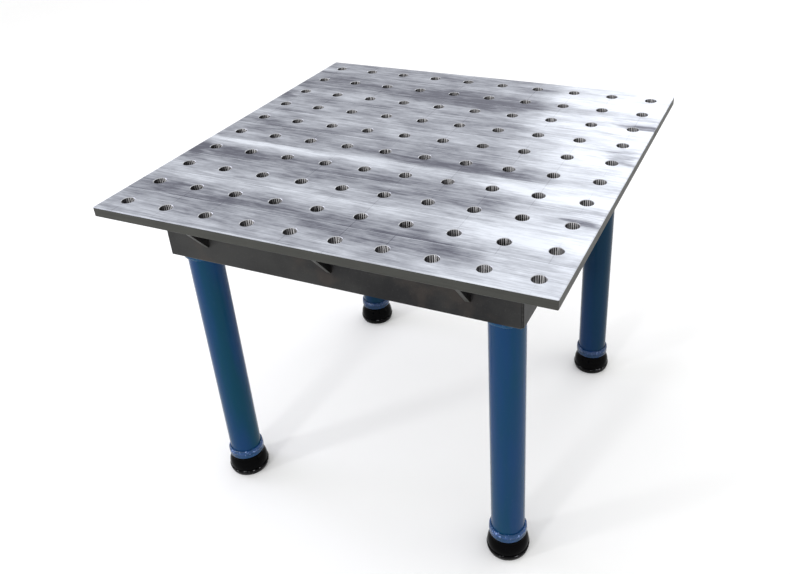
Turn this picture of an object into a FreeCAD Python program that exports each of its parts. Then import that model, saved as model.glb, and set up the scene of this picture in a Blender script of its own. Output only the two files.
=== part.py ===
"""A welding table: a perforated ground plate on a welded apron frame, with four round legs on screw feet.

Everything is in millimetres. The origin is on the floor under the middle of the table: X runs to the right
along the front edge, Y runs to the back, and Z is up.
"""

import FreeCAD, Part
import math
import os

Vector = FreeCAD.Vector

# Top plate: through holes on a square grid, the first row half a pitch in from each edge
TABLE_HEIGHT = 800.0
PLATE_SIDE = 1000.0
PLATE_THICKNESS = 22.0
PLATE_EDGE_CHAMFER = 1.5
HOLE_DIAMETER = 28.0
HOLE_CHAMFER = 1.0
HOLE_PITCH = 100.0
HOLES_PER_ROW = 10

# Apron frame: four flat bars on edge, mitred at the corners, with a square weld groove down each corner
APRON_SPAN = 817.0
APRON_THICKNESS = 10.0
APRON_DEPTH = 122.0
WELD_GROOVE = 4.0
CORNER_BEAD_LEG = 2.2

# Ribs: flat bars on edge inside the aprons, halved together where they cross, between rows of holes
RIB_THICKNESS = 10.0
RIB_POSITIONS = (-300.0, 0.0, 300.0)
RIB_SLOT_CLEARANCE = 0.2

# Gussets: triangular brackets outside the aprons, in line with the ribs, that carry the plate's overhang
GUSSET_THICKNESS = 10.0
GUSSET_HEIGHT = 83.0
GUSSET_EDGE_GAP = 21.0
GUSSET_TOE = 4.0
GUSSET_SNIPE = 12.0

# Leg mount: a plate in each corner of the frame, with four M10 screws down into the leg's flange
LEG_OFFSET = 359.0
MOUNT_PLATE_THICKNESS = 12.0
SCREW_OFFSET = 18.0
SCREW_DIAMETER = 10.0
SCREW_CLEARANCE_DIAMETER = 11.0
SCREW_LENGTH = 30.0
SCREW_HEAD_HEIGHT = 6.4
SCREW_HEAD_FLATS = 16.0
WASHER_DIAMETER = 20.0
WASHER_BORE = 10.5
WASHER_THICKNESS = 2.0

# Leg: a 76.1 x 4 tube between a flange at the top and a threaded socket at the bottom
TUBE_DIAMETER = 76.1
TUBE_WALL = 4.0
FLANGE_DIAMETER = 90.0
FLANGE_RIM_THICKNESS = 5.0
FLANGE_BEAD_HEIGHT = 11.0
FLANGE_BEAD_STEP = 0.5
FLANGE_SPIGOT_LENGTH = 15.0
COLLAR_DIAMETER = 86.0
SOCKET_BOTTOM = 52.0
SOCKET_RIM_THICKNESS = 15.0
SOCKET_LOWER_ROUND = 6.0
SOCKET_UPPER_ROUND = 1.0
SOCKET_BEAD_HEIGHT = 11.0
SOCKET_SPIGOT_LENGTH = 20.0
SPIGOT_CLEARANCE = 0.05
BEAD_BULGE = 0.8

# Levelling foot: an M20 stud with a domed cap, turning in a base that is bonded into a rubber pad
STUD_DIAMETER = 20.0
THREAD_CLEARANCE = 0.05
STUD_TOP = 112.0
STUD_END_CHAMFER = 2.0
STUD_SHANK_DIAMETER = 26.0
JOURNAL_DIAMETER = 16.0
JOURNAL_CLEARANCE = 0.05
THRUST_GAP = 0.1
PAD_BOTTOM_DIAMETER = 92.0
PAD_DIAMETER = 97.0
PAD_HEIGHT = 13.0
PAD_FLOOR = 5.0
PAD_ROUND = 3.0
BASE_DIAMETER = 88.0
BASE_THICKNESS = 6.0
BASE_BOSS_DIAMETER = 32.0
BASE_BOSS_TOP = 24.0
BASE_SOCKET_FLOOR = 2.0
CAP_GAP = 0.5
CAP_RIM_DIAMETER = 98.4
CAP_RIM_HEIGHT = 4.0
CAP_RIM_ROUND = 1.2
CAP_DIAMETER = 95.0
CAP_TOP_DIAMETER = 82.0
CAP_TOP_ROUND = 5.0
CAP_TOP_THICKNESS = 5.0
CAP_WALL = 3.0
CAP_SIDE_BULGE = 2.5

PLATE_BOTTOM = TABLE_HEIGHT - PLATE_THICKNESS
FRAME_BOTTOM = PLATE_BOTTOM - APRON_DEPTH
APRON_OUTER = APRON_SPAN / 2
APRON_INNER = APRON_OUTER - APRON_THICKNESS
TUBE_RADIUS = TUBE_DIAMETER / 2
TUBE_BORE_RADIUS = TUBE_RADIUS - TUBE_WALL
SPIGOT_RADIUS = TUBE_BORE_RADIUS - SPIGOT_CLEARANCE
COLLAR_RADIUS = COLLAR_DIAMETER / 2
FLANGE_RADIUS = FLANGE_DIAMETER / 2
TUBE_TOP = FRAME_BOTTOM - FLANGE_RIM_THICKNESS
TUBE_BOTTOM = SOCKET_BOTTOM + SOCKET_RIM_THICKNESS
CAP_TOP = SOCKET_BOTTOM - CAP_GAP
CORNERS = {
    "front_left": (-1, -1),
    "front_right": (1, -1),
    "rear_left": (-1, 1),
    "rear_right": (1, 1),
}
# The turn about Z that carries a front piece to each side, and what its places are called there
SIDES = {
    "front": (0, ("left", "centre", "right")),
    "right": (90, ("front", "centre", "rear")),
    "rear": (180, ("right", "centre", "left")),
    "left": (270, ("rear", "centre", "front")),
}


def box(x_range, y_range, z_range):
    """A solid block between two values on each axis."""
    low = Vector(x_range[0], y_range[0], z_range[0])
    sizes = [high - start for start, high in (x_range, y_range, z_range)]
    return Part.makeBox(*sizes, low)


def prism(points, direction):
    """A closed polygon of points, pushed along a direction into a solid."""
    return Part.Face(Part.makePolygon(points + points[:1])).extrude(direction)


def round_step(centre, radius, start, end):
    """An arc for an outline: the point halfway round, and the last one, from two angles in degrees."""

    def point(angle):
        turn = math.radians(angle)
        return (centre[0] + radius * math.cos(turn), centre[1] + radius * math.sin(turn))

    return point((start + end) / 2), point(end)


def turned(start, *steps):
    """A solid turned about Z from a closed outline of (radius, height) points.

    A step is the next point, or a (point on the way, next point) pair for an arc.
    """
    edges = []
    here = start
    for step in (*steps, start):
        bent = isinstance(step[0], tuple)
        there = step[1] if bent else step
        ends = Vector(here[0], 0, here[1]), Vector(there[0], 0, there[1])
        if bent:
            middle = Vector(step[0][0], 0, step[0][1])
            edges.append(Part.Arc(ends[0], middle, ends[1]).toShape())
        else:
            edges.append(Part.LineSegment(*ends).toShape())
        here = there
    return Part.Face(Part.Wire(edges)).revolve(Vector(0, 0, 0), Vector(0, 0, 1), 360)


def moved(shape, x, y, z=0.0):
    """A copy of a shape, carried along by x, y and z."""
    copy = shape.copy()
    copy.translate(Vector(x, y, z))
    return copy


def turned_round(shape, angle):
    """A copy of a shape, turned about Z by an angle in degrees."""
    copy = shape.copy()
    copy.rotate(Vector(0, 0, 0), Vector(0, 0, 1), angle)
    return copy


def save(name, shape):
    """Writes one sub-part, and says how many solids it has and how large they are."""
    shape.exportStep(f"parts/{name}.step")
    volume = shape.Volume / 1000
    print(f"{name}: {len(shape.Solids)} solid(s), {volume:.1f} cm3, valid {shape.isValid()}")


def hole_positions():
    """The distances of the rows of holes from the middle of the plate."""
    first = -HOLE_PITCH * (HOLES_PER_ROW - 1) / 2
    return [first + HOLE_PITCH * row for row in range(HOLES_PER_ROW)]


def hole_cutter():
    """What is removed for one hole: the bore with a countersunk mouth at each face."""
    radius = HOLE_DIAMETER / 2
    wide = radius + HOLE_CHAMFER
    return turned(
        (0, PLATE_BOTTOM),
        (wide, PLATE_BOTTOM),
        (radius, PLATE_BOTTOM + HOLE_CHAMFER),
        (radius, TABLE_HEIGHT - HOLE_CHAMFER),
        (wide, TABLE_HEIGHT),
        (0, TABLE_HEIGHT),
    )


def top_plate():
    """The ground plate with its grid of through holes and broken edges."""
    half = PLATE_SIDE / 2
    blank = box((-half, half), (-half, half), (PLATE_BOTTOM, TABLE_HEIGHT))
    blank = blank.makeChamfer(PLATE_EDGE_CHAMFER, blank.Edges)
    cutter = hole_cutter()
    rows = hole_positions()
    return blank.cut([moved(cutter, x, y) for x in rows for y in rows])


def apron():
    """The front apron: mitred ends, each with half of the corner's weld groove."""
    groove = APRON_OUTER - WELD_GROOVE
    right_end = [(groove, -APRON_OUTER), (groove, -groove), (APRON_INNER, -APRON_INNER)]
    left_end = [(-x, y) for x, y in reversed(right_end)]
    points = [Vector(x, y, FRAME_BOTTOM) for x, y in right_end + left_end]
    return prism(points, Vector(0, 0, APRON_DEPTH))


def corner_bead():
    """The weld in the front right corner's groove, set back from both faces."""
    inner = APRON_OUTER - WELD_GROOVE
    outer = inner + CORNER_BEAD_LEG
    points = [(inner, -inner), (inner, -outer), (outer, -inner)]
    return prism([Vector(x, y, FRAME_BOTTOM) for x, y in points], Vector(0, 0, APRON_DEPTH))


def rib(slot_from_top):
    """A rib along X at Y = 0, halved from its top or its bottom edge where other ribs cross it."""
    half = RIB_THICKNESS / 2
    bar = box((-APRON_INNER, APRON_INNER), (-half, half), (FRAME_BOTTOM, PLATE_BOTTOM))
    middle = (FRAME_BOTTOM + PLATE_BOTTOM) / 2
    heights = (middle, PLATE_BOTTOM) if slot_from_top else (FRAME_BOTTOM, middle)
    wide = half + RIB_SLOT_CLEARANCE
    return bar.cut([box((x - wide, x + wide), (-half, half), heights) for x in RIB_POSITIONS])


def gusset():
    """A front gusset at X = 0: blunt toes, and a snipe clear of the weld between apron and plate."""
    tip = PLATE_SIDE / 2 - GUSSET_EDGE_GAP
    points = [
        (APRON_OUTER + GUSSET_SNIPE, PLATE_BOTTOM),
        (tip, PLATE_BOTTOM),
        (tip, PLATE_BOTTOM - GUSSET_TOE),
        (APRON_OUTER + GUSSET_TOE, PLATE_BOTTOM - GUSSET_HEIGHT),
        (APRON_OUTER, PLATE_BOTTOM - GUSSET_HEIGHT),
        (APRON_OUTER, PLATE_BOTTOM - GUSSET_SNIPE),
    ]
    left = -GUSSET_THICKNESS / 2
    return prism([Vector(left, -reach, z) for reach, z in points], Vector(GUSSET_THICKNESS, 0, 0))


def screw_positions():
    """Where the four screws of a leg stand, from the leg's axis."""
    return [(x, y) for x in (-SCREW_OFFSET, SCREW_OFFSET) for y in (-SCREW_OFFSET, SCREW_OFFSET)]


def mount_plate():
    """The rear right corner's mount plate, between the ribs and the aprons, with its clearance holes."""
    rib_face = RIB_POSITIONS[-1] + RIB_THICKNESS / 2
    span = (rib_face, APRON_INNER)
    heights = (FRAME_BOTTOM, FRAME_BOTTOM + MOUNT_PLATE_THICKNESS)
    hole = Part.makeCylinder(SCREW_CLEARANCE_DIAMETER / 2, MOUNT_PLATE_THICKNESS)
    holes = [moved(hole, LEG_OFFSET + x, LEG_OFFSET + y, FRAME_BOTTOM) for x, y in screw_positions()]
    return box(span, span, heights).cut(holes)


def washer():
    """A plain washer standing on the mount plate, on the Z axis."""
    base = FRAME_BOTTOM + MOUNT_PLATE_THICKNESS
    return turned(
        (WASHER_BORE / 2, base),
        (WASHER_DIAMETER / 2, base),
        (WASHER_DIAMETER / 2, base + WASHER_THICKNESS),
        (WASHER_BORE / 2, base + WASHER_THICKNESS),
    )


def hex_screw():
    """A hexagon head screw on the Z axis: chamfered head, and a plain shank in place of the thread."""
    seat = FRAME_BOTTOM + MOUNT_PLATE_THICKNESS + WASHER_THICKNESS
    top = seat + SCREW_HEAD_HEIGHT
    corner = SCREW_HEAD_FLATS / math.sqrt(3)
    turns = [math.radians(60 * side) for side in range(6)]
    points = [Vector(corner * math.cos(turn), corner * math.sin(turn), seat) for turn in turns]
    flats = SCREW_HEAD_FLATS / 2
    chamfer_drop = (corner - flats) * math.tan(math.radians(30))
    crown = turned((0, seat), (corner, seat), (corner, top - chamfer_drop), (flats, top), (0, top))
    head = prism(points, Vector(0, 0, SCREW_HEAD_HEIGHT)).common(crown)
    radius = SCREW_DIAMETER / 2
    end = seat - SCREW_LENGTH
    shank = turned((0, end), (radius - 1, end), (radius, end + 1), (radius, seat), (0, seat))
    return head.fuse(shank).removeSplitter()


def leg_flange():
    """The disc on top of a leg tube: a thin rim over its end, a spigot inside it, four tapped holes."""
    spigot_end = TUBE_TOP - FLANGE_SPIGOT_LENGTH
    disc = turned(
        (0, spigot_end),
        (SPIGOT_RADIUS - 1, spigot_end),
        (SPIGOT_RADIUS, spigot_end + 1),
        (SPIGOT_RADIUS, TUBE_TOP),
        (FLANGE_RADIUS, TUBE_TOP),
        (FLANGE_RADIUS, FRAME_BOTTOM),
        (0, FRAME_BOTTOM),
    )
    hole = Part.makeCylinder(SCREW_DIAMETER / 2, FRAME_BOTTOM - spigot_end)
    return disc.cut([moved(hole, x, y, spigot_end) for x, y in screw_positions()])


def leg_tube():
    """The round tube of a leg, open at both ends."""
    return turned(
        (TUBE_BORE_RADIUS, TUBE_BOTTOM),
        (TUBE_RADIUS, TUBE_BOTTOM),
        (TUBE_RADIUS, TUBE_TOP),
        (TUBE_BORE_RADIUS, TUBE_TOP),
    )


def ring_bead(face, height, rim):
    """A crowned fillet weld round the tube: from the rim radius on a face to a height along the tube."""
    slope = Vector(rim - TUBE_RADIUS, height, 0)
    outward = Vector(abs(slope.y), slope.x, 0).normalize() * BEAD_BULGE
    rise = math.copysign(1, height)
    crown = ((rim + TUBE_RADIUS) / 2 + outward.x, face + height / 2 + rise * abs(outward.y))
    return turned((TUBE_RADIUS, face), (rim, face), (crown, (TUBE_RADIUS, face + height)))


def leg_socket():
    """The collar at the foot of a leg: rounded rim, spigot inside the tube, through bore for the stud."""
    bore = STUD_DIAMETER / 2 + THREAD_CLEARANCE
    low = SOCKET_LOWER_ROUND
    high = SOCKET_UPPER_ROUND
    spigot_top = TUBE_BOTTOM + SOCKET_SPIGOT_LENGTH
    return turned(
        (bore + 1, SOCKET_BOTTOM),
        (COLLAR_RADIUS - low, SOCKET_BOTTOM),
        round_step((COLLAR_RADIUS - low, SOCKET_BOTTOM + low), low, -90, 0),
        (COLLAR_RADIUS, TUBE_BOTTOM - high),
        round_step((COLLAR_RADIUS - high, TUBE_BOTTOM - high), high, 0, 90),
        (SPIGOT_RADIUS, TUBE_BOTTOM),
        (SPIGOT_RADIUS, spigot_top - 1),
        (SPIGOT_RADIUS - 1, spigot_top),
        (bore, spigot_top),
        (bore, SOCKET_BOTTOM + 1),
    )


def foot_stud():
    """The stud of a foot: journal in the base, thick shank under the cap, and the M20 thread's outside."""
    journal = JOURNAL_DIAMETER / 2
    shank = STUD_SHANK_DIAMETER / 2
    thread = STUD_DIAMETER / 2
    journal_end = PAD_FLOOR + BASE_SOCKET_FLOOR + THRUST_GAP
    shank_bottom = BASE_BOSS_TOP + THRUST_GAP
    cap_seat = CAP_TOP - CAP_TOP_THICKNESS
    return turned(
        (0, journal_end),
        (journal - 1, journal_end),
        (journal, journal_end + 1),
        (journal, shank_bottom),
        (shank, shank_bottom),
        (shank, cap_seat),
        (thread, cap_seat),
        (thread, STUD_TOP - STUD_END_CHAMFER),
        (thread - STUD_END_CHAMFER, STUD_TOP),
        (0, STUD_TOP),
    )


def foot_cap():
    """The domed cap of a foot: a shell with a rim at its foot, pushed over the stud onto its shank."""
    bottom = PAD_HEIGHT + CAP_GAP
    rim = CAP_RIM_DIAMETER / 2
    rim_top = bottom + CAP_RIM_HEIGHT
    side = CAP_DIAMETER / 2
    top = CAP_TOP_DIAMETER / 2
    top_start = CAP_TOP - CAP_TOP_ROUND
    bulge = ((side + top) / 2 + CAP_SIDE_BULGE, (rim_top + top_start) / 2)
    inner_bulge = (bulge[0] - CAP_WALL, bulge[1])
    ceiling = CAP_TOP - CAP_TOP_THICKNESS
    bore = STUD_DIAMETER / 2
    corner = CAP_RIM_ROUND
    return turned(
        (rim - corner, bottom),
        round_step((rim - corner, bottom + corner), corner, -90, 0),
        (rim, rim_top - corner),
        round_step((rim - corner, rim_top - corner), corner, 0, 90),
        (side, rim_top),
        (bulge, (top, top_start)),
        round_step((top - CAP_TOP_ROUND, top_start), CAP_TOP_ROUND, 0, 90),
        (bore, CAP_TOP),
        (bore, ceiling),
        (top - CAP_WALL, ceiling),
        (inner_bulge, (side - CAP_WALL, rim_top)),
        (side - CAP_WALL, bottom),
    )


def foot_base():
    """The steel base of a foot: a disc with a boss in which the stud's journal turns."""
    bore = JOURNAL_DIAMETER / 2 + JOURNAL_CLEARANCE
    disc = BASE_DIAMETER / 2
    boss = BASE_BOSS_DIAMETER / 2
    disc_top = PAD_FLOOR + BASE_THICKNESS
    floor = PAD_FLOOR + BASE_SOCKET_FLOOR
    return turned(
        (0, PAD_FLOOR),
        (disc, PAD_FLOOR),
        (disc, disc_top),
        (boss, disc_top),
        (boss, BASE_BOSS_TOP - 1),
        (boss - 1, BASE_BOSS_TOP),
        (bore, BASE_BOSS_TOP),
        (bore, floor),
        (0, floor),
    )


def foot_pad():
    """The rubber pad of a foot: a shallow cup round the base, flared a little from the floor upwards."""
    low = PAD_BOTTOM_DIAMETER / 2
    high = PAD_DIAMETER / 2
    inner = BASE_DIAMETER / 2
    corner = PAD_ROUND
    return turned(
        (0, 0),
        (low - corner, 0),
        round_step((low - corner, corner), corner, -90, 0),
        (high, PAD_HEIGHT - corner),
        round_step((high - corner, PAD_HEIGHT - corner), corner, 0, 90),
        (inner, PAD_HEIGHT),
        (inner, PAD_FLOOR),
        (0, PAD_FLOOR),
    )


def save_frame():
    """Writes the plate, the aprons and their corner welds, the ribs and the gussets."""
    save("top_plate", top_plate())
    front = apron()
    bead = corner_bead()
    for side, (angle, _) in SIDES.items():
        save(f"apron_{side}", turned_round(front, angle))
    beads = [turned_round(bead, angle) for angle, _ in SIDES.values()]
    save("apron_corner_welds", Part.makeCompound(beads))

    cross_rib = rib(slot_from_top=True)
    long_rib = turned_round(rib(slot_from_top=False), 90)
    for place, position in zip(("front", "centre", "rear"), RIB_POSITIONS):
        save(f"cross_rib_{place}", moved(cross_rib, 0, position))
    for place, position in zip(("left", "centre", "right"), RIB_POSITIONS):
        save(f"long_rib_{place}", moved(long_rib, position, 0))

    bracket = gusset()
    for side, (angle, places) in SIDES.items():
        for place, position in zip(places, RIB_POSITIONS):
            save(f"gusset_{side}_{place}", turned_round(moved(bracket, position, 0), angle))


def save_legs():
    """Writes each corner's mount plate, leg and foot, and all the screws, washers and ring welds."""
    pieces = {
        "leg_flange": leg_flange(),
        "leg_tube": leg_tube(),
        "leg_socket": leg_socket(),
        "foot_stud": foot_stud(),
        "foot_cap": foot_cap(),
        "foot_base": foot_base(),
        "foot_pad": foot_pad(),
    }
    groups = {
        "leg_screws": [moved(hex_screw(), x, y) for x, y in screw_positions()],
        "leg_washers": [moved(washer(), x, y) for x, y in screw_positions()],
        "flange_welds": [ring_bead(TUBE_TOP, -FLANGE_BEAD_HEIGHT, FLANGE_RADIUS - FLANGE_BEAD_STEP)],
        "socket_welds": [ring_bead(TUBE_BOTTOM, SOCKET_BEAD_HEIGHT, COLLAR_RADIUS - SOCKET_UPPER_ROUND)],
    }
    plate = mount_plate()
    plate_angles = {"rear_right": 0, "rear_left": 90, "front_left": 180, "front_right": 270}
    for corner, (x_side, y_side) in CORNERS.items():
        save(f"mount_plate_{corner}", turned_round(plate, plate_angles[corner]))
        for name, piece in pieces.items():
            save(f"{name}_{corner}", moved(piece, LEG_OFFSET * x_side, LEG_OFFSET * y_side))
    for name, solids in groups.items():
        placed = [
            moved(solid, LEG_OFFSET * x_side, LEG_OFFSET * y_side)
            for x_side, y_side in CORNERS.values()
            for solid in solids
        ]
        save(name, Part.makeCompound(placed))


os.makedirs("parts", exist_ok=True)
save_frame()
save_legs()
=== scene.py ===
"""The welding table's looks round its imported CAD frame: materials, rippled welds and threaded studs."""

import math

import bpy
import numpy as np
from mathutils import Matrix, Vector


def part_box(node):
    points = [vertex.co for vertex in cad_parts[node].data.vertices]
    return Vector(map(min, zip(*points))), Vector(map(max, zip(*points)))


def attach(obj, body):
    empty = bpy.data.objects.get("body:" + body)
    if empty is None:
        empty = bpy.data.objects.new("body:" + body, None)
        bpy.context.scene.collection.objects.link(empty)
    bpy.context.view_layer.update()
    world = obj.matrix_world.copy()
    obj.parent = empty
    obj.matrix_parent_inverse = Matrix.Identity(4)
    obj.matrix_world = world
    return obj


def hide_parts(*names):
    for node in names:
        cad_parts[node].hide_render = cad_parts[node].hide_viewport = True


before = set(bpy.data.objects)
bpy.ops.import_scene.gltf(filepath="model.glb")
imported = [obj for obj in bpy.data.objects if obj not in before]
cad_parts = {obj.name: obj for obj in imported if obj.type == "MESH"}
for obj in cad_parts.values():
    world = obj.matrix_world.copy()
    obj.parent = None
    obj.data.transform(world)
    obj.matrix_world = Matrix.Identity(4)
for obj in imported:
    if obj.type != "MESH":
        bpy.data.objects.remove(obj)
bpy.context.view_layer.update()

MM = 0.001
DOWN = (0, 0, -1)
CORNERS = {
    "front_left": (-1, -1),
    "front_right": (1, -1),
    "rear_left": (-1, 1),
    "rear_right": (1, 1),
}

# Places and sizes read from the frame
PLATE_LOW, PLATE_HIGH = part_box("top_plate")
APRON_LOW, APRON_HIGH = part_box("apron_front")
RIB_LOW, RIB_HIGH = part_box("long_rib_right")
GUSSET_LOW, GUSSET_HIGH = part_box("gusset_front_right")
MOUNT_LOW, MOUNT_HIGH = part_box("mount_plate_rear_right")
TUBE_LOW, TUBE_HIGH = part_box("leg_tube_rear_right")
SOCKET_LOW, SOCKET_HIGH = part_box("leg_socket_rear_right")
CAP_LOW, CAP_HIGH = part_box("foot_cap_rear_right")
STUD_LOW, STUD_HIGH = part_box("foot_stud_rear_right")
PLATE_HALF = PLATE_HIGH.x
PLATE_BOTTOM = PLATE_LOW.z
APRON_OUTER = APRON_HIGH.x
APRON_INNER = APRON_OUTER - (APRON_HIGH.y - APRON_LOW.y)
FRAME_BOTTOM = APRON_LOW.z
LEG_OFFSET = (TUBE_LOW.x + TUBE_HIGH.x) / 2
TUBE_RADIUS = (TUBE_HIGH.x - TUBE_LOW.x) / 2
COLLAR_RADIUS = (SOCKET_HIGH.x - SOCKET_LOW.x) / 2
RIB_OFFSET = (RIB_LOW.x + RIB_HIGH.x) / 2
RIB_HALF = (RIB_HIGH.x - RIB_LOW.x) / 2

# Plate: its grid of holes
HOLE_PITCH = 100 * MM
# A line is left where each pass of the mill starts, once a pitch, this far behind the front edge
PASS_OFFSET = 3 * MM
# How far half of the streaks lean: a share of X added to Y
STREAK_SLANT = 0.045
# Streaks on the face: waves a metre along X and along Y, seed, detail, roughness and strength
STREAKS = (
    (9.0, 25.0, 4, 6.0, 0.68, 1.20),
    (7.0, 120.0, 8, 5.0, 0.60, 0.66),
    (15.0, 330.0, 9, 3.0, 0.50, 0.56),
)
# Broad stripes left by the face mill, which also paint in reflected bands of light: distance from the front
# edge, as a share of the plate, and how bright
STRIPES = (
    (0.00, 0.50), (0.12, 0.15), (0.19, 0.62), (0.25, 0.32), (0.33, 0.20),
    (0.37, 0.64), (0.45, 0.24), (0.60, 0.44), (0.68, 0.28), (0.74, 0.44),
    (0.78, 0.22), (0.85, 0.14), (0.91, 0.42), (0.95, 0.25), (1.00, 0.34),
)
# Blotches over the stripes, partly smudges and partly painted reflection: x, y, half length, half width, and
# how much lighter or darker
BLOTCHES = (
    (-0.35, -0.18, 0.15, 0.02, -0.20), (0.12, -0.07, 0.24, 0.02, -0.20), (0.31, -0.05, 0.06, 0.03, -0.30),
    (-0.02, 0.31, 0.20, 0.06, -0.15), (0.47, 0.29, 0.04, 0.015, -0.55), (0.47, 0.10, 0.04, 0.04, -0.45),
    (0.47, -0.21, 0.04, 0.01, -0.50), (-0.49, 0.20, 0.03, 0.04, -0.25), (-0.49, -0.19, 0.03, 0.04, -0.30),
    (-0.30, -0.12, 0.22, 0.01, 0.25), (-0.10, -0.30, 0.13, 0.01, 0.20), (0.33, 0.36, 0.12, 0.12, 0.10),
)
# How far the stripes' edges wander, and how far the blotches' ends and sides do
STRIPE_WANDER = 0.045
BLOTCH_END_WANDER = 0.16
BLOTCH_SIDE_WANDER = 0.05
# The line at the start of each pass of the mill, and the shade behind it where it is strongest
LINE_GAIN = 0.34
LINE_SHADE = -0.20
# How much darker the face is at most on the scribed lines through the holes' middles
SCRIBE_SHADE = -0.16
# How bright the finest scratches are
SCRATCH_GAIN = 0.30
# Painted reflection: where the face is painted brighter to the right for a studio light's glare, at its
# middle, and how that line leans, wanders and gains
GLARE_FROM = 0.24
GLARE_LEAN = 0.13
GLARE_WANDER = 0.34
GLARE_GAIN = 0.42

# Bores: how many upright stripes the reamer left round each, whose light ones also paint in reflections, how
# they differ from one column and row of holes to the next, how much noise bends them, and how sharply painted
# shade darkens them towards the left and right
BORE_STRIPES = 21
COLUMN_SEED = 7.3
ROW_SEED = 5.1
STRIPE_BEND = 7.0
SIDE_SHADE_POWER = 2.5

# Colours, as linear red, green and blue
# The milled face runs between these two tones; their bluish tints partly paint in reflected light
MILLED_DARK, MILLED_BRIGHT = (0.125, 0.130, 0.170), (0.84, 0.88, 0.96)
WORN_CHAMFER = (0.50, 0.51, 0.54)
# The bores' light stripes are reaming marks and painted reflection at once
BORE_DARK, BORE_BRIGHT = (0.020, 0.019, 0.022), (0.80, 0.79, 0.80)
OLIVE_DEEP, OLIVE_PALE = (0.019, 0.0195, 0.018), (0.060, 0.061, 0.053)
APRON_DEEP, APRON_PALE, APRON_RUBBED = (0.008, 0.008, 0.009), (0.031, 0.031, 0.030), (0.085, 0.085, 0.080)
# The gussets' colours are painted shade, near black, with a painted lit edge as their pale one
GUSSET_SHADED_DEEP, GUSSET_SHADED_PALE, GUSSET_LIT_EDGE = (0.004, 0.004, 0.004), (0.012, 0.012, 0.012), (0.055, 0.056, 0.052)
# The last colour here is painted shade under the plate's overhang
RUST, PALE_SPECK, UNDER_PLATE_SHADE = (0.046, 0.036, 0.030), (0.07, 0.07, 0.067), (0.006, 0.006, 0.0065)
TEAL, VIOLET, BLUE_DUST = (0.0005, 0.041, 0.076), (0.004, 0.036, 0.112), (0.05, 0.09, 0.13)
# The last colour here paints pale glints on the foot caps' rims
ENAMEL, ENAMEL_DUST, RIM_GLINT = (0.0008, 0.0008, 0.001), (0.006, 0.006, 0.006), (0.42, 0.42, 0.44)
RUBBER, RUBBER_SCUFF = (0.0025, 0.0025, 0.0025), (0.020, 0.019, 0.018)
ZINC_BRIGHT, ZINC_DULL, ZINC_WARM = (0.60, 0.62, 0.65), (0.36, 0.37, 0.375), (0.80, 0.79, 0.74)
FLOOR_DEEP, FLOOR_PALE = (0.95, 0.95, 0.95), (0.98, 0.98, 0.98)
# Painted shade: paint on the rear legs and welds leans this far towards these darker colours, for the shade
# the rear legs stand in
REAR_SHADE_SHARE = 0.55
REAR_SHADE_BLUE = (0.001, 0.008, 0.030)
REAR_SHADE_GREY = (0.010, 0.010, 0.010)
# Lumpy paint: its valleys, crests and painted pale glints, its gloss, and the painted shade it leans towards
# behind
COLLAR_PAINT = ((0.001, 0.032, 0.080), (0.004, 0.042, 0.125), (0.02, 0.075, 0.22), 0.3, REAR_SHADE_BLUE)
BEAD_PAINT = ((0.001, 0.038, 0.115), (0.007, 0.052, 0.185), (0.26, 0.40, 0.76), 0.4, REAR_SHADE_BLUE)
DARK_WELD_PAINT = ((0.012, 0.012, 0.012), (0.032, 0.031, 0.030), (0.06, 0.06, 0.055), 0.2, REAR_SHADE_GREY)
FLANGE_BEAD_PAINT = ((0.001, 0.044, 0.090), (0.004, 0.048, 0.125), (0.02, 0.08, 0.18), 0.16, REAR_SHADE_BLUE)

# Welds: a fillet's leg, the pitch of its ripples, how far its middle stands out, and how its end tapers
FILLET_LEG = 4 * MM
RIPPLE_PITCH = 3.2 * MM
ROWS_A_RIPPLE = 3
POINTS_ACROSS = 6
CROWN = 0.26
RIPPLE_DEPTH = 0.16
RIPPLE_BOW = 0.45
END_SIZE = 0.45
WANDER = 0.05
# Stitch welds: their length, and how far they keep from the ends of their bay
STITCH = 45 * MM
BAY_MARGIN = 12 * MM
# How far the other welds stop from the ends of their edges
GUSSET_TIP_MARGIN = 2 * MM
GUSSET_SNIPE = 13 * MM
RIB_MARGIN = 3 * MM
MOUNT_MARGIN = 6 * MM
# The apron's corner beads: how far inside the CAD bead's corner their root is, and their leg
CORNER_INSET = 2.2 * MM
CORNER_LEG = 2.6 * MM
# Ring welds round a leg tube, at its socket and at its flange: where, how far out and how far along the tube
SOCKET_BEAD_DROP = 1 * MM
SOCKET_BEAD_OVERLAP = 0.1 * MM
SOCKET_BEAD_HEIGHT = 11 * MM
FLANGE_BEAD_LEG = 6.0 * MM
FLANGE_BEAD_HEIGHT = 9.6 * MM

# Stud: an M20 x 2.5 thread, whose crests, roots and flanks take these shares of half a pitch
THREAD_PITCH = 2.5 * MM
THREAD_MAJOR = 10.0 * MM
THREAD_MINOR = 8.5 * MM
THREAD_FLAT = 0.15
THREAD_FLANK = 0.7
THREAD_CHAMFER = 2 * MM
STEPS_A_PITCH = 8
STUD_COLUMNS = 40
JOURNAL_RADIUS = 8 * MM
JOURNAL_CHAMFER = 1 * MM
SHANK_BOTTOM = 24.1 * MM
CAP_TOP_THICKNESS = 5 * MM

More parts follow.
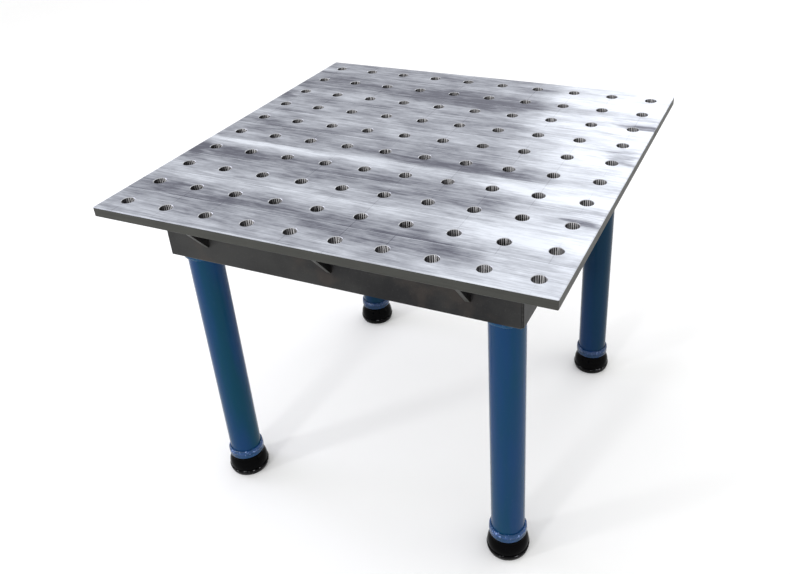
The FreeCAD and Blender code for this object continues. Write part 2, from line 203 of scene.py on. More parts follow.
# Studio: the floor's disc, and each lamp's name, azimuth, elevation, distance, width, watts, tint and aim
FLOOR_RADIUS = 40.0
FLOOR_SIDES = 64
LAMPS = (
    ("front_lamp", -8, 24, 4.5, 0.45, 32, (1, 1, 1), (0, 0, 0.5)),
    ("left_lamp", -42, 20, 4.5, 0.45, 32, (1, 1, 1), (0, 0, 0.5)),
    ("left_window", -85, 22, 4.0, 2.0, 35, (0.84, 0.84, 1.0), (0, 0, 0.5)),
    ("right_window", 105, 14, 4.0, 2.0, 15, (1.0, 1.0, 0.88), (0, 0, 0.5)),
    ("far_window", 172, 22, 5.0, 2.4, 30, (1, 1, 1), (0.3, 0, 0.8)),
)

# Camera: the direction it stands in, how far off, what it aims at, and its lens
CAMERA_AZIMUTH = 25.233
CAMERA_ELEVATION = 30.703
CAMERA_ROLL = -2.765
CAMERA_DISTANCE = 1.4889
CAMERA_TARGET = (0.2678, -0.4389, 0.8)
CAMERA_LENS = 37.868
CAMERA_SHIFT = (-0.0602, -0.0375)
CAMERA_REACH = 60


class Shader:
    """One material's node tree round a Principled shader, with a short call for each kind of node in use."""

    def __init__(self, name, **sockets):
        self.material = bpy.data.materials.new(name)
        self.material.use_nodes = True
        self.tree = self.material.node_tree
        self.tree.nodes.clear()
        output = self.tree.nodes.new("ShaderNodeOutputMaterial")
        self.surface = self.tree.nodes.new("ShaderNodeBsdfPrincipled")
        self.tree.links.new(self.surface.outputs[0], output.inputs["Surface"])
        self.coordinates = self.tree.nodes.new("ShaderNodeTexCoord").outputs
        self.place = self.coordinates["Object"]
        for socket, value in sockets.items():
            self.set(socket.replace("_", " "), value)

    def set(self, socket, value):
        """Sets or links one of the surface's sockets, named in lower case."""
        for entry in self.surface.inputs:
            if entry.name.lower() == socket.lower():
                self.join(entry, value)
                return
        raise KeyError(socket)

    def join(self, entry, value):
        """Links a socket to another, or gives it a value."""
        if isinstance(value, bpy.types.NodeSocket):
            self.tree.links.new(value, entry)
        elif hasattr(entry.default_value, "__len__") and len(entry.default_value) == 4:
            entry.default_value = (*value[:3], 1.0)
        else:
            entry.default_value = value

    def node(self, kind, values=(), **settings):
        """A node of one kind with its settings, and its first inputs linked or set."""
        made = self.tree.nodes.new("ShaderNode" + kind)
        for key, value in settings.items():
            setattr(made, key, value)
        for entry, value in zip(made.inputs, values):
            if value is not None:
                self.join(entry, value)
        return made

    def math(self, operation, first, second=None, third=None):
        """A number worked out from one, two or three others."""
        return self.node("Math", (first, second, third), operation=operation).outputs[0]

    def scaled(self, vector, x, y, z):
        """A vector with each part multiplied."""
        return self.node("VectorMath", (vector, (x, y, z)), operation="MULTIPLY").outputs[0]

    def parts(self, vector):
        """The x, y and z of a vector."""
        return self.node("SeparateXYZ", (vector,)).outputs

    def vector(self, x, y, z):
        """A vector of three numbers."""
        return self.node("CombineXYZ", (x, y, z)).outputs[0]

    def noise(self, vector, scale=1.0, detail=2.0, roughness=0.5):
        """Smooth noise from 0 to 1 at a scale in waves a metre."""
        made = self.node("TexNoise")
        values = {"Vector": vector, "Scale": scale, "Detail": detail, "Roughness": roughness}
        for name, value in values.items():
            self.join(made.inputs[name], value)
        return made.outputs[0]

    def span(self, value, low, high, start=0.0, end=1.0):
        """A number eased from start to end while value goes from low to high."""
        values = (value, low, high, start, end)
        return self.node("MapRange", values, interpolation_type="SMOOTHSTEP").outputs[0]

    def ramp(self, value, stops):
        """Greys along a ramp, from (position, grey) pairs."""
        made = self.node("ValToRGB", (value,))
        elements = made.color_ramp.elements
        while len(elements) < len(stops):
            elements.new(0.5)
        for element, (position, grey) in zip(elements, stops):
            element.position = position
            element.color = (grey, grey, grey, 1.0)
        return made.outputs[0]

    def mix(self, factor, first, second):
        """Two colours mixed."""
        made = self.node("Mix", data_type="RGBA")
        for name, value in {"Factor_Float": factor, "A_Color": first, "B_Color": second}.items():
            entry = next(i for i in made.inputs if i.identifier == name)
            self.join(entry, value)
        return next(o for o in made.outputs if o.identifier == "Result_Color")

    def bump(self, height, distance, strength):
        """A normal raised by a height from 0 to 1 over a distance in metres."""
        made = self.node("Bump")
        for name, value in {"Strength": strength, "Distance": distance, "Height": height}.items():
            self.join(made.inputs[name], value)
        return made.outputs[0]


def cell_offset(shade, value):
    """How far a coordinate is from the middle of its 100 mm cell, in cells."""
    return shade.math("SUBTRACT", shade.math("FRACT", shade.math("DIVIDE", value, HOLE_PITCH)), 0.5)


def hole_wall_shade(shade, x, y, z):
    """The bores' reamed walls: upright light and dark stripes, the light ones also painted reflection,
    differing a little from hole to hole, with painted shade to the left and right.
    """
    column = shade.math("FLOOR", shade.math("DIVIDE", x, HOLE_PITCH))
    row = shade.math("FLOOR", shade.math("DIVIDE", y, HOLE_PITCH))
    seed = shade.math("MULTIPLY_ADD", column, COLUMN_SEED, shade.math("MULTIPLY", row, ROW_SEED))
    angle = shade.math("ARCTAN2", cell_offset(shade, y), cell_offset(shade, x))
    turn = shade.math("MULTIPLY_ADD", angle, 2.6, seed)
    uneven = shade.noise(shade.vector(turn, shade.math("MULTIPLY", z, 14.0), 0.0), detail=2.0)
    phase = shade.math("MULTIPLY_ADD", uneven, STRIPE_BEND, shade.math("MULTIPLY", angle, BORE_STRIPES))
    light = shade.span(shade.math("MULTIPLY_ADD", uneven, 1.8, shade.math("SINE", phase)), 0.5, 2.0)
    # Painted shade: the walls that look left and right are darkened
    side_shade = shade.math("POWER", shade.math("ABSOLUTE", shade.math("SINE", angle)), SIDE_SHADE_POWER)
    light = shade.math("MULTIPLY", light, side_shade)
    return shade.mix(light, BORE_DARK, BORE_BRIGHT), light


def blotch(shade, x, y, place):
    """A soft-edged long patch, from 1 at its middle to 0 at its edge, times how much it changes the tone."""
    middle_x, middle_y, half_length, half_width, change = place
    across = shade.math("DIVIDE", shade.math("SUBTRACT", x, middle_x), half_length)
    along = shade.math("DIVIDE", shade.math("SUBTRACT", y, middle_y), half_width)
    distance = shade.math("ADD", shade.math("MULTIPLY", across, across), shade.math("MULTIPLY", along, along))
    return shade.span(distance, 0.1, 1.9, change, 0.0)


def milled_face_shade(shade, x, y):
    """The upper face: broad stripes from the mill and cloudy patches, which also paint in reflected bands of
    light, fine streaks, faint scribed lines, and a painted glare to the right.
    """

    def streaks(across, along, seed, **settings):
        """Noise drawn out along X, a little aslant where its seed is even."""
        down = slanted if seed % 2 == 0 else y
        across, along = shade.math("MULTIPLY", x, across), shade.math("MULTIPLY", down, along)
        return shade.noise(shade.vector(across, along, float(seed)), **settings)

    def add(tone, value, amount):
        """The tone with noise added, centred on nothing."""
        return shade.math("MULTIPLY_ADD", shade.math("SUBTRACT", value, 0.5), amount, tone)

    slanted = shade.math("MULTIPLY_ADD", x, STREAK_SLANT, y)
    warp = streaks(3.2, 11.0, 0, detail=4.0)
    from_front = shade.math("ADD", slanted, PLATE_HALF - STRIPE_WANDER / 2)
    drift = shade.math("MULTIPLY_ADD", warp, STRIPE_WANDER, from_front)
    tone = shade.ramp(drift, STRIPES)
    ragged = streaks(9.0, 30.0, 11, detail=3.0)
    start_x = shade.math("SUBTRACT", x, BLOTCH_END_WANDER / 2)
    start_y = shade.math("SUBTRACT", slanted, BLOTCH_SIDE_WANDER / 2)
    wobble_x = shade.math("MULTIPLY_ADD", ragged, BLOTCH_END_WANDER, start_x)
    wobble_y = shade.math("MULTIPLY_ADD", warp, BLOTCH_SIDE_WANDER, start_y)
    for place in BLOTCHES:
        tone = shade.math("ADD", tone, blotch(shade, wobble_x, wobble_y, place))

    for across, along, seed, detail, roughness, strength in STREAKS:
        tone = add(tone, streaks(across, along, seed, detail=detail, roughness=roughness), strength)
    # Painted reflection: the right of the face is painted brighter, standing in for a studio light's glare on
    # the metal
    lean = shade.math("MULTIPLY_ADD", y, GLARE_LEAN, x)
    fringe = shade.math("SUBTRACT", streaks(5.0, 16.0, 2, detail=5.0, roughness=0.6), 0.5)
    reach = shade.math("MULTIPLY_ADD", fringe, GLARE_WANDER, lean)
    painted_glare = shade.span(reach, GLARE_FROM - 0.08, GLARE_FROM + 0.10, 0.0, GLARE_GAIN)
    tone = shade.math("ADD", tone, painted_glare)

    from_first = shade.math("ADD", y, PLATE_HALF - PASS_OFFSET)
    passes = shade.math("FRACT", shade.math("DIVIDE", from_first, HOLE_PITCH))
    behind = shade.math("POWER", shade.math("SUBTRACT", 1.0, passes), 5.0)
    strength = shade.span(streaks(2.0, 10.0, 5, detail=2.0), 0.40, 0.60, 0.0, LINE_SHADE)
    tone = shade.math("MULTIPLY_ADD", behind, strength, tone)
    tone = shade.math("ADD", tone, shade.span(passes, 0.984, 0.992, 0.0, LINE_GAIN))
    for value, seed in ((x, 1.0), (y, 2.0)):
        patches = shade.noise(shade.scaled(shade.place, 9.0, 9.0, seed), detail=2.0)
        worn = shade.span(patches, 0.44, 0.60, 0.0, SCRIBE_SHADE)
        near = shade.span(shade.math("ABSOLUTE", cell_offset(shade, value)), 0.004, 0.012, 1.0, 0.0)
        tone = shade.math("MULTIPLY_ADD", near, worn, tone)

    fine = streaks(16.0, 900.0, 1, detail=2.0)
    tone = add(tone, fine, SCRATCH_GAIN)
    tone = shade.node("Clamp", (tone, 0.0, 1.0)).outputs[0]
    return shade.mix(tone, MILLED_DARK, MILLED_BRIGHT), tone, fine


def ground_plate():
    """The top plate: milled upper face with painted reflections, bright chamfers, reamed bores with painted
    reflections and shade, and dull olive edges and underside.
    """
    shade = Shader("ground_plate", anisotropic=0.5, specular_ior_level=0.2)
    x, y, z = shade.parts(shade.place)
    up = shade.parts(shade.coordinates["Normal"])[2]
    upright = shade.span(shade.math("ABSOLUTE", up), 0.25, 0.35, 1.0, 0.0)
    reach = shade.math("MAXIMUM", shade.math("ABSOLUTE", x), shade.math("ABSOLUTE", y))
    outside = shade.span(reach, PLATE_HALF - 2.2 * MM, PLATE_HALF - 1.8 * MM)
    under = shade.span(up, -0.3, -0.5)
    dull = shade.math("MAXIMUM", shade.math("MULTIPLY", upright, outside), under)
    bore = shade.math("MULTIPLY", upright, shade.math("SUBTRACT", 1.0, outside))

    face, tone, fine = milled_face_shade(shade, x, y)
    wall, wall_light = hole_wall_shade(shade, x, y, z)
    chamfer = shade.math("MULTIPLY", shade.span(up, 0.25, 0.4), shade.span(up, 0.86, 0.96, 1.0, 0.0))
    worn_face = shade.mix(shade.math("MULTIPLY", outside, 0.75), WORN_CHAMFER, face)
    colour = shade.mix(bore, shade.mix(chamfer, face, worn_face), wall)
    across = shade.math("MULTIPLY", shade.math("ADD", x, y), 5.0)
    sawn = shade.noise(shade.vector(across, 0.0, shade.math("MULTIPLY", z, 260.0)), detail=3.0)
    cloudy = shade.noise(shade.place, scale=14.0, detail=4.0)
    grain = shade.math("ADD", shade.math("MULTIPLY", sawn, 0.5), shade.math("MULTIPLY", cloudy, 0.5))
    olive = shade.mix(grain, OLIVE_DEEP, OLIVE_PALE)
    shade.set("base color", shade.mix(dull, colour, olive))
    shade.set("metallic", shade.math("SUBTRACT", 1.0, shade.math("MAXIMUM", dull, bore)))

    rough = shade.math("MULTIPLY_ADD", tone, -0.10, 0.42)
    rough = shade.math("MULTIPLY_ADD", fine, 0.08, rough)
    shade.set("roughness", shade.math("MULTIPLY_ADD", dull, 0.12, rough))
    face_height = shade.math("MULTIPLY", fine, shade.math("SUBTRACT", 1.0, shade.math("MAXIMUM", dull, bore)))
    dull_height = shade.math("MULTIPLY", shade.math("ADD", sawn, cloudy), dull)
    height = shade.math("MULTIPLY_ADD", wall_light, bore, shade.math("ADD", face_height, dull_height))
    shade.set("normal", shade.bump(height, distance=0.05 * MM, strength=0.6))
    shade.set("tangent", shade.vector(1.0, 0.0, 0.0))
    return shade.material


def dark_frame_steel(name, deep, pale, wear_and_lit_edge):
    """Bar under thin dark paint: cloudy, rusty in patches, painted shade under the plate, pale on lower edges
    and downward faces: wear, and on gussets a painted lit edge.
    """
    shade = Shader(name, specular_ior_level=0.14)
    z = shade.parts(shade.place)[2]
    cloud = shade.noise(shade.place, scale=5.3, detail=5.0, roughness=0.55)
    warm = shade.noise(shade.place, scale=16.0, detail=3.0)
    speck = shade.noise(shade.place, scale=420.0, detail=2.0)
    colour = shade.mix(shade.span(cloud, 0.3, 0.7), deep, pale)
    colour = shade.mix(shade.span(warm, 0.50, 0.72, 0.0, 0.45), colour, RUST)
    colour = shade.mix(shade.span(speck, 0.62, 0.75, 0.0, 0.30), colour, PALE_SPECK)
    # Painted shade: darker towards the plate's underside, where the plate's overhang shades the bars
    painted_shade = shade.span(z, PLATE_BOTTOM - 45 * MM, PLATE_BOTTOM - 5 * MM, 0.0, 0.6)
    colour = shade.mix(painted_shade, colour, UNDER_PLATE_SHADE)
    # Pale lower edges and faces that look down: wear on the bars, a painted lit edge on the gussets' sloped
    # edges
    low = shade.span(z, FRAME_BOTTOM, FRAME_BOTTOM + 1.8 * MM, 1.0, 0.0)
    edge = shade.math("MULTIPLY", low, shade.span(cloud, 0.42, 0.6))
    underside = shade.span(shade.parts(shade.coordinates["Normal"])[2], -0.2, -0.5)
    edge = shade.math("MAXIMUM", edge, shade.math("MULTIPLY", underside, 0.8))
    shade.set("base color", shade.mix(edge, colour, wear_and_lit_edge))
    shade.set("roughness", shade.math("MULTIPLY_ADD", cloud, 0.22, 0.36))
    pits = shade.noise(shade.place, scale=900.0, detail=2.0)
    height = shade.math("MULTIPLY_ADD", cloud, 1.6, pits)
    shade.set("normal", shade.bump(height, distance=0.10 * MM, strength=0.55))
    return shade.material


def painted_rear_shade(shade, paint, deep):
    """Painted shade: a paint that turns deeper from the front legs to the rear ones."""
    rear = shade.span(shade.parts(shade.place)[1], -LEG_OFFSET, LEG_OFFSET, 0.0, REAR_SHADE_SHARE)
    return shade.mix(rear, paint, deep)


def weld_bead(name, valley, crest, painted_glint, gloss, deep):
    """Lumpy paint on a collar or a weld: uneven, with painted shade behind and painted pale glints on its
    highest spots.
    """
    shade = Shader(name, specular_ior_level=gloss)
    cloud = shade.noise(shade.place, scale=60.0, detail=3.0)
    lumps = shade.noise(shade.place, scale=210.0, detail=2.0)
    colour = shade.mix(shade.span(cloud, 0.3, 0.7), valley, crest)
    # Painted highlight: pale glints on the highest lumps
    colour = shade.mix(shade.span(lumps, 0.54, 0.80), colour, painted_glint)
    shade.set("base color", painted_rear_shade(shade, colour, deep))
    shade.set("roughness", shade.math("MULTIPLY_ADD", cloud, 0.16, 0.08))
    shade.set("normal", shade.bump(lumps, distance=0.8 * MM, strength=0.5))
    return shade.material


def blue_gloss():
    """Gloss paint: hue that drifts between teal and violet, partly random tone and partly painted tinted
    light, painted shade on the rear legs, and a little dust.
    """
    shade = Shader("blue_gloss", specular_ior_level=0.10)
    drift = shade.noise(shade.scaled(shade.place, 16.0, 16.0, 2.2), detail=3.0)
    dust = shade.noise(shade.place, scale=160.0, detail=4.0, roughness=0.65)
    # The teal-violet drift is partly random paint tone and partly painted tinted light on the legs' sides
    paint = shade.mix(shade.span(drift, 0.34, 0.66), TEAL, VIOLET)
    # Painted shade: deeper on the rear legs
    paint = painted_rear_shade(shade, paint, REAR_SHADE_BLUE)
    shade.set("base color", shade.mix(shade.span(dust, 0.58, 0.80, 0.0, 0.12), paint, BLUE_DUST))
    shade.set("roughness", shade.math("MULTIPLY_ADD", dust, 0.16, 0.14))
    ripples = shade.noise(shade.place, scale=70.0, detail=2.0)
    shade.set("normal", shade.bump(ripples, distance=0.25 * MM, strength=0.35))
    return shade.material


def black_gloss():
    """The foot caps: black gloss enamel with an uneven skin, a little dust, and painted pale glints on the
    rim.
    """
    shade = Shader("black_gloss", specular_ior_level=0.035)
    dust = shade.noise(shade.place, scale=130.0, detail=4.0, roughness=0.7)
    dusty = shade.span(dust, 0.62, 0.8, 0.0, 0.3)
    enamel = shade.mix(dusty, ENAMEL, ENAMEL_DUST)
    height = shade.parts(shade.place)[2]
    # Painted highlight: pale glints along the rim's lower edge
    rim = shade.span(height, CAP_LOW.z + 2.5 * MM, CAP_LOW.z + 4.5 * MM, 1.0, 0.0)
    glint_spots = shade.noise(shade.place, scale=150.0, detail=3.0, roughness=0.7)
    rim_glints = shade.math("MULTIPLY", rim, shade.span(glint_spots, 0.54, 0.72, 0.0, 0.8))
    shade.set("base color", shade.mix(rim_glints, enamel, RIM_GLINT))
    shade.set("roughness", shade.math("MULTIPLY_ADD", dust, 0.16, 0.04))
    lumps = shade.noise(shade.place, scale=120.0, detail=2.0)
    shade.set("normal", shade.bump(lumps, distance=0.5 * MM, strength=0.5))
    return shade.material


def black_rubber():
    """The foot pads: moulded rubber, dull, with a fine grain and pale scuffs near the floor."""
    shade = Shader("black_rubber", specular_ior_level=0.07)
    z = shade.parts(shade.place)[2]
    grain = shade.noise(shade.place, scale=1500.0, detail=2.0)
    worn = shade.span(shade.noise(shade.place, scale=90.0, detail=4.0), 0.5, 0.7, 0.0, 0.5)
    scuff = shade.math("MULTIPLY", shade.span(z, 0.0, 5 * MM, 1.0, 0.0), worn)
    shade.set("base color", shade.mix(scuff, RUBBER, RUBBER_SCUFF))
    shade.set("roughness", shade.math("MULTIPLY_ADD", grain, 0.20, 0.22))
    shade.set("normal", shade.bump(grain, distance=0.05 * MM, strength=0.4))
    return shade.material


def zinc_plate():
    """Screws, washers, studs and bases: zinc-plated steel, turned, with dull patches in the plating."""
    shade = Shader("zinc_plate")
    turned = shade.noise(shade.scaled(shade.place, 30.0, 30.0, 2600.0), detail=2.0)
    bloom = shade.noise(shade.place, scale=85.0, detail=4.0)
    colour = shade.mix(shade.span(bloom, 0.35, 0.7), ZINC_BRIGHT, ZINC_DULL)
    shade.set("base color", shade.mix(shade.math("MULTIPLY", turned, 0.35), colour, ZINC_WARM))
    shade.set("metallic", 1.0)
    shade.set("roughness", shade.math("MULTIPLY_ADD", bloom, 0.30, 0.18))
    shade.set("normal", shade.bump(turned, distance=0.05 * MM, strength=0.35))
    return shade.material


def pale_floor():
    """The studio floor: nearly white, with the faintest mottle."""
    shade = Shader("pale_floor", roughness=0.7, specular_ior_level=0.1)
    mottle = shade.noise(shade.place, scale=1.5, detail=3.0)
    shade.set("base color", shade.mix(mottle, FLOOR_DEEP, FLOOR_PALE))
    return shade.material


def dress(material, *names):
    """Gives one material to CAD nodes: each name is a whole node name, or the start of several."""
    for node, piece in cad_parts.items():
        if node.startswith(names):
            piece.data.materials.clear()
            piece.data.materials.append(material)


def make_piece(name, parts, material, body, replaced=()):
    """One object of several (points, faces) parts, smooth, on a body, perhaps in place of CAD nodes."""
    points, faces = [], []
    for part_points, part_faces in parts:
        faces += [[len(points) + corner for corner in face] for face in part_faces]
        points += part_points
    mesh = bpy.data.meshes.new(name)
    mesh.from_pydata(points, [], faces)
    mesh.validate()
    mesh.polygons.foreach_set("use_smooth", [True] * len(mesh.polygons))
    mesh.materials.append(material)
    piece = bpy.data.objects.new(name, mesh)
    bpy.context.scene.collection.objects.link(piece)
    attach(piece, body)
    if replaced:
        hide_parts(*replaced)
    return piece


def grid_faces(rows, columns, closed):
    """The faces of a tube of rows of points: its last row meets its first, or else its ends are capped."""
    faces = []
    for row in range(rows if closed else rows - 1):
        here, there = row * columns, (row + 1) % rows * columns
        for column in range(columns):
            after = (column + 1) % columns
            faces.append([here + column, here + after, there + after, there + column])
    if not closed:
        faces.append(list(range(columns))[::-1])
        faces.append(list(range((rows - 1) * columns, rows * columns)))
    return faces


def bead(root_at, length, first_leg, second_leg, closed=False, wander=0.0):
    """A rippled fillet weld as (points, faces).

    root_at gives, for a distance along the weld, the root and the two unit directions up its two faces.
    """
    ripples = max(3, round(length / RIPPLE_PITCH))
    rows = ripples * ROWS_A_RIPPLE + (0 if closed else 1)
    shares = np.linspace(0.0, 1.0, POINTS_ACROSS)
    crown = CROWN * np.sin(np.pi * shares)
    points = []
    for row in range(rows):
        along = row / (ripples * ROWS_A_RIPPLE)
        root, first, second = root_at(along * length)
        swell = 1.0 + wander * (math.sin(along * 41.0) + 0.6 * math.sin(along * 97.0 + 1.0))
        taper = 1.0
        if not closed:
            from_end = min(along, 1 - along) * length / (2 * FILLET_LEG)
            taper = min(1.0, END_SIZE + (1 - END_SIZE) * math.sqrt(from_end))
        points.append(tuple(root))
        for share, rise in zip(shares, crown):
            phase = (along * ripples + RIPPLE_BOW * math.sin(math.pi * share)) % 1.0
            ripple = 1.0 + RIPPLE_DEPTH * (0.5 - phase) * math.sin(math.pi * share)
            size = swell * taper * ripple
            out = first * first_leg * (1 - share + rise) + second * second_leg * (share + rise)
            points.append(tuple(root + out * size))
    return points, grid_faces(rows, len(shares) + 1, closed)


def straight_bead(start, end, first, second, leg=FILLET_LEG):
    """A fillet weld along a line, in the corner between two faces."""
    start, end, first, second = Vector(start), Vector(end), Vector(first), Vector(second)
    ahead = (end - start).normalized()
    if ahead.cross(first).dot(second) > 0:
        first, second = second, first

    def root_at(along):
        return start + ahead * along, first, second

    return bead(root_at, (end - start).length, leg, leg, wander=WANDER)


def ring_bead(x, y, face, outward_leg, upward_leg):
    """A fillet weld round a leg tube, on a level face or, with a negative upward leg, hanging from one."""
    length = 2 * math.pi * TUBE_RADIUS
    rise = Vector((0, 0, math.copysign(1, upward_leg)))

    def root_at(along):
        turn = along / TUBE_RADIUS * (-1 if upward_leg > 0 else 1)
        out = Vector((math.cos(turn), math.sin(turn), 0))
        return Vector((x, y, face)) + out * TUBE_RADIUS, out, rise

    return bead(root_at, length, outward_leg, abs(upward_leg), closed=True, wander=WANDER)


def stitches(low, high, count):
    """The starts and ends of stitch welds spread evenly between two values."""
    step = (high - low) / count
    middles = [low + step * (place + 0.5) for place in range(count)]
    return [(middle - STITCH / 2, middle + STITCH / 2) for middle in middles]


def turn_quarters(part, quarters):
    """A copy of a part turned about the table's middle by quarter turns."""
    turn = Matrix.Rotation(math.pi / 2 * quarters, 3, "Z")
    points, faces = part
    return [tuple(turn @ Vector(point)) for point in points], faces


def round_the_table(parts):
    """Each part four times, once for each side of the table."""
    return [turn_quarters(part, quarters) for part in parts for quarters in range(4)]


def under_plate(start, end, side):
    """A fillet under the plate, from one (x, y) to another, on a face that looks towards side."""
    return straight_bead((*start, PLATE_BOTTOM), (*end, PLATE_BOTTOM), side, DOWN)


def gusset_welds():
    """Fillets on both sides of each gusset, under the plate and down the apron."""
    half = (GUSSET_HIGH.x - GUSSET_LOW.x) / 2
    front = []
    for middle in (-RIB_OFFSET, 0.0, RIB_OFFSET):
        for side in (-1, 1):
            x = middle + side * half
            tip, inner = GUSSET_LOW.y + GUSSET_TIP_MARGIN, -APRON_OUTER - GUSSET_SNIPE
            out = (side, 0, 0)
            front.append(under_plate((x, tip), (x, inner), out))
            top, foot = PLATE_BOTTOM - GUSSET_SNIPE, GUSSET_LOW.z + GUSSET_TIP_MARGIN
            front.append(straight_bead((x, -APRON_OUTER, top), (x, -APRON_OUTER, foot), out, (0, -1, 0)))
    return round_the_table(front)


def apron_welds():
    """Stitches between the plate and both faces of each apron, between the ribs."""
    bays = ((-RIB_OFFSET, 0.0), (0.0, RIB_OFFSET))
    front = []
    for low, high in bays:
        for start, end in stitches(low + BAY_MARGIN, high - BAY_MARGIN, 3):
            front.append(under_plate((start, -APRON_OUTER), (end, -APRON_OUTER), (0, -1, 0)))
            front.append(under_plate((start, -APRON_INNER), (end, -APRON_INNER), (0, 1, 0)))
    return round_the_table(front)


def rib_welds():
    """Stitches under the plate along the ribs, and fillets in the corners where ribs meet ribs and aprons."""
    places = (-RIB_OFFSET, 0.0, RIB_OFFSET)
    low, high = FRAME_BOTTOM + RIB_MARGIN, PLATE_BOTTOM - RIB_MARGIN
    parts = []
    for place in places:
        for side in (-1, 1):
            face = place + side * RIB_HALF
            for start, end in zip(places, places[1:]):
                for left, right in stitches(start + BAY_MARGIN, end - BAY_MARGIN, 2):
                    line = under_plate((left, face), (right, face), (0, side, 0))
                    parts += [line, turn_quarters(line, 1)]
            for end in (-1, 1):
                corner = (end * APRON_INNER, face)
                line = straight_bead((*corner, low), (*corner, high), (-end, 0, 0), (0, side, 0))
                parts += [line, turn_quarters(line, 1)]
            for crossing in places:
                for end in (-1, 1):
                    corner = (crossing + end * RIB_HALF, face)
                    parts.append(straight_bead((*corner, low), (*corner, high), (end, 0, 0), (0, side, 0)))
    return parts


def mount_welds():
    """Fillets over the mount plates, where they meet the ribs and the aprons."""
    low, high, top = MOUNT_LOW.x + MOUNT_MARGIN, MOUNT_HIGH.x - MOUNT_MARGIN, MOUNT_HIGH.z
    corner = []
    for edge, inward in ((MOUNT_LOW.x, 1), (MOUNT_HIGH.x, -1)):
        corner.append(straight_bead((edge, low, top), (edge, high, top), (inward, 0, 0), (0, 0, 1)))
        corner.append(straight_bead((low, edge, top), (high, edge, top), (0, inward, 0), (0, 0, 1)))
    return round_the_table(corner)


def corner_welds():
    """The beads down the grooves at the apron's four corners."""
    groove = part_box("apron_corner_welds")[1].x - CORNER_INSET
    start, end = (groove, -groove, FRAME_BOTTOM), (groove, -groove, PLATE_BOTTOM)
    return round_the_table([straight_bead(start, end, (1, 0, 0), (0, -1, 0), leg=CORNER_LEG)])


def thread_radius(height, turn):
    """How far out the thread stands at a height and a turn: flat crests and roots with sloping flanks."""
    wave = abs(((height / THREAD_PITCH - turn / (2 * math.pi)) % 1.0) * 2 - 1)
    height_share = min(1.0, max(0.0, (wave - THREAD_FLAT) / THREAD_FLANK))
    return THREAD_MINOR + (THREAD_MAJOR - THREAD_MINOR) * height_share


def stud_part(x, y):
    """A foot's stud as (points, faces): chamfered journal, thick shank and a right-hand thread."""
    shank_radius = (STUD_HIGH.x - STUD_LOW.x) / 2
    seat = CAP_HIGH.z - CAP_TOP_THICKNESS
    plain = [
        (STUD_LOW.z, JOURNAL_RADIUS - JOURNAL_CHAMFER), (STUD_LOW.z + JOURNAL_CHAMFER, JOURNAL_RADIUS),
        (SHANK_BOTTOM, JOURNAL_RADIUS), (SHANK_BOTTOM, shank_radius),
        (seat, shank_radius), (seat, THREAD_MINOR),
    ]
    rows = [[(z, radius)] * STUD_COLUMNS for z, radius in plain]
    steps = round((STUD_HIGH.z - seat) / THREAD_PITCH * STEPS_A_PITCH)
    for step in range(1, steps + 1):
        z = seat + (STUD_HIGH.z - seat) * step / steps
        room = THREAD_MAJOR + min(0.0, (STUD_HIGH.z - z) - THREAD_CHAMFER)
        start = min(1.0, (z - seat) / THREAD_PITCH)
        row = []
        for column in range(STUD_COLUMNS):
            radius = thread_radius(z, 2 * math.pi * column / STUD_COLUMNS)
            row.append((z, min(room, THREAD_MINOR + (radius - THREAD_MINOR) * start)))
        rows.append(row)
    points = []
    for row in rows:
        for column, (z, radius) in enumerate(row):
            turn = 2 * math.pi * column / STUD_COLUMNS
            points.append((x + radius * math.cos(turn), y + radius * math.sin(turn), z))
    return points, grid_faces(len(rows), STUD_COLUMNS, False)


def area_light(name, azimuth, elevation, distance, size, power, tint, aim):
    """A square soft light that stands in a direction from a point and shines at it."""
    light = bpy.data.lights.new(name, "AREA")
    light.size = size
    light.energy = power
    light.color = tint
    lamp = bpy.data.objects.new(name, light)
    lamp.location = Vector(aim) + direction(azimuth, elevation) * distance
    lamp.rotation_euler = (Vector(aim) - lamp.location).to_track_quat("-Z", "Y").to_euler()
    lamp.visible_camera = False
    bpy.context.scene.collection.objects.link(lamp)


def direction(azimuth, elevation):
    """The unit vector towards an azimuth, 0 in front of the table and 90 to its right, and an elevation."""
    turn, rise = math.radians(azimuth), math.radians(elevation)
    return Vector((math.sin(turn) * math.cos(rise), -math.cos(turn) * math.cos(rise), math.sin(rise)))


def add_camera():
    """The camera, with the lens shifted because the view isn't centred on its axis."""
    data = bpy.data.cameras.new("camera")
    data.lens = CAMERA_LENS
    data.shift_x, data.shift_y = CAMERA_SHIFT
    data.dof.use_dof = False
    data.clip_end = CAMERA_REACH
    camera = bpy.data.objects.new("camera", data)
    back = direction(CAMERA_AZIMUTH, CAMERA_ELEVATION)
    right = Vector((0, 0, 1)).cross(back).normalized()
    upward = back.cross(right)
    level = Matrix((right, upward, back)).transposed()
    place = Vector(CAMERA_TARGET) + back * CAMERA_DISTANCE
    turned = level @ Matrix.Rotation(math.radians(CAMERA_ROLL), 3, "Z")
    camera.matrix_world = Matrix.Translation(place) @ turned.to_4x4()
    bpy.context.scene.collection.objects.link(camera)
    bpy.context.scene.camera = camera


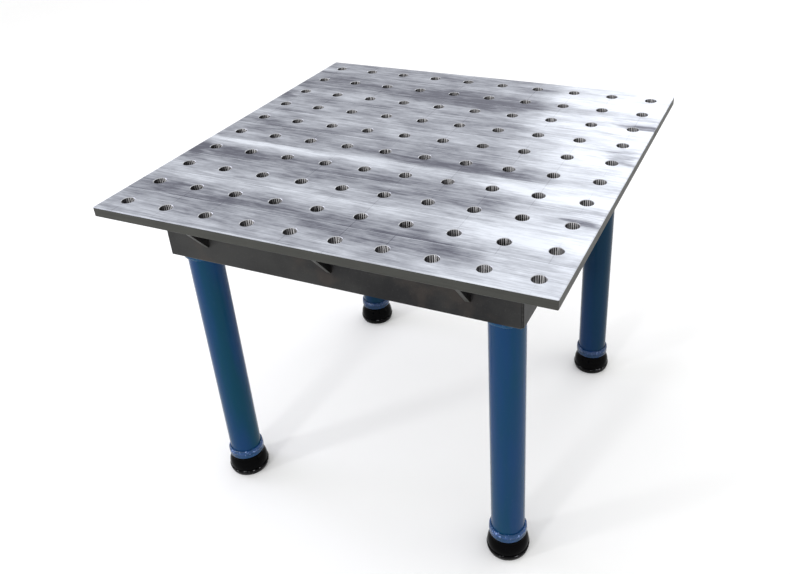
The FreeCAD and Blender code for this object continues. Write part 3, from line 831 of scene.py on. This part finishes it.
def add_studio():
    """A wide pale floor, an even pale world, and a few soft lights."""
    turns = [2 * math.pi * step / FLOOR_SIDES for step in range(FLOOR_SIDES)]
    points = [(FLOOR_RADIUS * math.cos(turn), FLOOR_RADIUS * math.sin(turn), 0.0) for turn in turns]
    mesh = bpy.data.meshes.new("floor")
    mesh.from_pydata(points, [], [list(range(len(points)))])
    mesh.materials.append(pale_floor())
    floor = bpy.data.objects.new("floor", mesh)
    bpy.context.scene.collection.objects.link(floor)

    world = bpy.data.worlds.new("studio")
    world.use_nodes = True
    sky = world.node_tree.nodes["Background"].inputs
    sky["Color"].default_value = (1.0, 1.0, 1.0, 1.0)
    sky["Strength"].default_value = 1.0
    bpy.context.scene.world = world

    for lamp in LAMPS:
        area_light(*lamp)


def add_materials():
    """Gives every CAD node that stays in view its material, and returns the studs' and the socket beads'."""
    blue = blue_gloss()
    collar = weld_bead("collar_blue", *COLLAR_PAINT)
    bead_paint = weld_bead("bead_blue", *BEAD_PAINT)
    steel = dark_frame_steel("dark_frame_steel", APRON_DEEP, APRON_PALE, APRON_RUBBED)
    # A shaded copy of the frame steel: painted shade on the gussets' sides and a painted lit edge below
    shaded_gusset = dark_frame_steel("shaded_gusset_steel", GUSSET_SHADED_DEEP, GUSSET_SHADED_PALE, GUSSET_LIT_EDGE)
    zinc = zinc_plate()
    dress(ground_plate(), "top_plate")
    dress(steel, "apron_", "cross_rib_", "long_rib_", "mount_plate_")
    dress(shaded_gusset, "gusset_")
    dress(blue, "leg_tube_", "leg_flange_")
    dress(collar, "leg_socket_")
    dress(zinc, "leg_screws", "leg_washers", "foot_base_")
    dress(black_gloss(), "foot_cap_")
    dress(black_rubber(), "foot_pad_")
    return zinc, bead_paint


def add_welds(blue):
    """The welds: painted rings on the legs, and fillets under the table in the frame's dark paint."""
    dark = weld_bead("dark_weld", *DARK_WELD_PAINT)
    dull_blue = weld_bead("dull_blue_weld", *FLANGE_BEAD_PAINT)
    make_piece("gusset_fillets", gusset_welds(), dark, "table")
    make_piece("apron_fillets", apron_welds(), dark, "table")
    make_piece("rib_fillets", rib_welds(), dark, "table")
    make_piece("mount_fillets", mount_welds(), dark, "table")
    make_piece("corner_beads", corner_welds(), dark, "table", ["apron_corner_welds"])
    low, high = [], []
    collar_step = COLLAR_RADIUS - TUBE_RADIUS + SOCKET_BEAD_OVERLAP
    for x_side, y_side in CORNERS.values():
        x, y = LEG_OFFSET * x_side, LEG_OFFSET * y_side
        low.append(ring_bead(x, y, TUBE_LOW.z - SOCKET_BEAD_DROP, collar_step, SOCKET_BEAD_HEIGHT))
        high.append(ring_bead(x, y, TUBE_HIGH.z, FLANGE_BEAD_LEG, -FLANGE_BEAD_HEIGHT))
    make_piece("socket_beads", low, blue, "table", ["socket_welds"])
    make_piece("flange_beads", high, dull_blue, "table", ["flange_welds"])


def add_studs(zinc):
    """Threaded studs in place of the plain ones."""
    for corner, (x_side, y_side) in CORNERS.items():
        part = stud_part(LEG_OFFSET * x_side, LEG_OFFSET * y_side)
        name, body, plain = f"threaded_stud_{corner}", f"foot_screw_{corner}", f"foot_stud_{corner}"
        make_piece(name, [part], zinc, body, [plain])


bpy.context.scene.view_settings.view_transform = "Standard"
add_camera()
add_studio()
plating, bead_paint = add_materials()
add_welds(bead_paint)
add_studs(plating)
